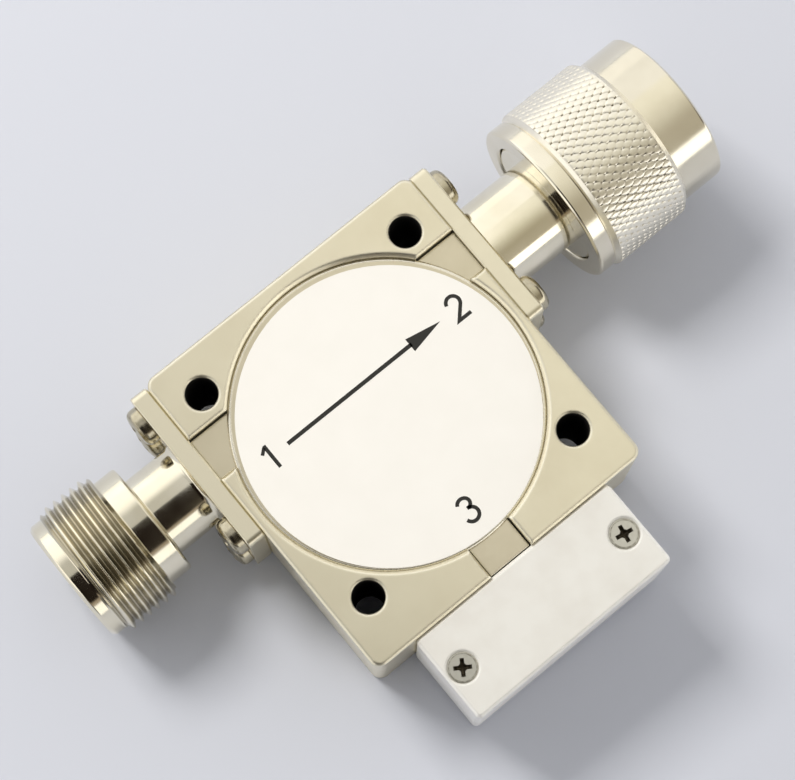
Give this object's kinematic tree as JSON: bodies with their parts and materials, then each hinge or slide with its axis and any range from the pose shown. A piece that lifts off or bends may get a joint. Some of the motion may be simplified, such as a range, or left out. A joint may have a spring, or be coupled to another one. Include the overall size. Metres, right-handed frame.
{
  "type": "coaxial isolator",
  "caption": "Flat metal coaxial isolator with a threaded jack, a plug with a captive knurled coupling nut and a bolted-on load block.",
  "frame": {"origin": "middle of the four mounting holes, on the mounting face", "axes": "+X along the signal path from the jack to the plug, +Z from the mounting face to the cover, load block on the -Y side"},
  "size_m": [0.0814, 0.0482, 0.02],
  "materials": {
    "nickel_plate": "satin nickel plate on machined steel",
    "label_film": "white printed film",
    "magnet_ceramic": "ground hard ferrite",
    "pole_steel": "stamped and plated steel",
    "ferrite_ceramic": "ground garnet",
    "dielectric_ceramic": "fired ceramic",
    "silvered_copper": "silver plated copper",
    "bright_nickel": "bright nickel plate on turned brass",
    "ptfe": "turned fluoroplastic",
    "gold_plate": "gold plated contact",
    "screw_nickel": "nickel plated steel",
    "silicone_rubber": "moulded silicone",
    "spring_bronze": "spring bronze wire",
    "anodised_aluminium": "bead blasted and clear anodised"
  },
  "bodies": {
    "isolator": {"housing": "nickel_plate", "cover": "nickel_plate", "label": "label_film", "magnet_lower": "magnet_ceramic", "pole_disc_lower": "pole_steel", "ferrite_lower": "ferrite_ceramic", "dielectric_ring_lower": "dielectric_ceramic", "centre_conductor": "silvered_copper", "ferrite_upper": "ferrite_ceramic", "dielectric_ring_upper": "dielectric_ceramic", "pole_disc_upper": "pole_steel", "magnet_upper": "magnet_ceramic", "compensation_disc": "pole_steel", "jack_body": "bright_nickel", "jack_insulator": "ptfe", "jack_contact": "gold_plate", "jack_screws": "screw_nickel", "plug_body": "bright_nickel", "plug_insulator": "ptfe", "plug_pin": "gold_plate", "plug_screws": "screw_nickel", "gasket": "silicone_rubber", "retaining_ring": "spring_bronze", "load_block": "anodised_aluminium", "load_lid": "anodised_aluminium", "lid_screws": "screw_nickel", "load_screws": "screw_nickel", "resistor_base": "silvered_copper", "resistor_chip": "dielectric_ceramic", "resistor_tab": "silvered_copper"},
    "coupling_nut": {"coupling_nut": "bright_nickel"}
  },
  "joints": [
    {"name": "coupling_nut_turn", "type": "hinge", "parent": "isolator", "child": "coupling_nut", "pos_m": [0.03, 0.00795, 0.0075], "axis": [1, 0, 0], "continuous": true}
  ]
}
